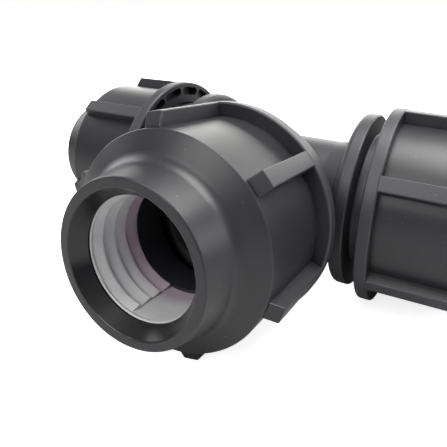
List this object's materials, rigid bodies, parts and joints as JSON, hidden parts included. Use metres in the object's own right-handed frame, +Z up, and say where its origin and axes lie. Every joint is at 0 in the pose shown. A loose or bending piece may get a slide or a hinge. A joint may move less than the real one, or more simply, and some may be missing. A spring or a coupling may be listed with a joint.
{
  "type": "pipe compression tee fitting",
  "caption": "Equal tee for plastic pressure pipe, with a ribbed compression nut, white split grip ring, push bush and O-ring on every outlet.",
  "frame": {"origin": "the point where the three outlet axes meet", "axes": "+X along the run towards the right nut, -Y along the branch, +Z up with the branch level"},
  "size_m": [0.1449, 0.0975, 0.056],
  "materials": {
    "body_black": "satin moulded polypropylene, faint grain",
    "nut_black": "satin moulded polypropylene, faint grain",
    "ring_white": "slightly translucent acetal, smooth",
    "bush_black": "satin moulded plastic",
    "seal_black": "smooth nitrile rubber"
  },
  "bodies": {
    "fitting": {"tee_body": "body_black", "right_o_ring": "seal_black", "left_o_ring": "seal_black", "branch_o_ring": "seal_black"},
    "right_grip": {"right_split_ring": "ring_white", "right_push_bush": "bush_black"},
    "right_cap": {"right_nut": "nut_black"},
    "left_grip": {"left_split_ring": "ring_white", "left_push_bush": "bush_black"},
    "left_cap": {"left_nut": "nut_black"},
    "branch_grip": {"branch_split_ring": "ring_white", "branch_push_bush": "bush_black"},
    "branch_cap": {"branch_nut": "nut_black"}
  },
  "joints": [
    {"name": "right_nut_travel", "type": "slide", "parent": "fitting", "child": "right_grip", "axis": [1, 0, 0], "range_m": [-0.00331, 0.00801]},
    {"name": "right_nut_turn", "type": "hinge", "parent": "right_grip", "child": "right_cap", "pos_m": [0, 0, 0], "axis": [1, 0, 0], "range_deg": [-297, 720]},
    {"name": "left_nut_travel", "type": "slide", "parent": "fitting", "child": "left_grip", "axis": [-1, 0, 0], "range_m": [-0.00921, 0.00211]},
    {"name": "left_nut_turn", "type": "hinge", "parent": "left_grip", "child": "left_cap", "pos_m": [0, 0, 0], "axis": [-1, 0, 0], "range_deg": [-828, 189]},
    {"name": "branch_nut_travel", "type": "slide", "parent": "fitting", "child": "branch_grip", "axis": [0, -1, 0], "range_m": [-0.00331, 0.00801]},
    {"name": "branch_nut_turn", "type": "hinge", "parent": "branch_grip", "child": "branch_cap", "pos_m": [0, 0, 0], "axis": [0, -1, 0], "range_deg": [-297, 720]}
  ],
  "couplings": [
    {"joint": "right_nut_travel", "follows": "right_nut_turn", "m_per_rad": 0.00063662},
    {"joint": "left_nut_travel", "follows": "left_nut_turn", "m_per_rad": 0.00063662},
    {"joint": "branch_nut_travel", "follows": "branch_nut_turn", "m_per_rad": 0.00063662}
  ]
}
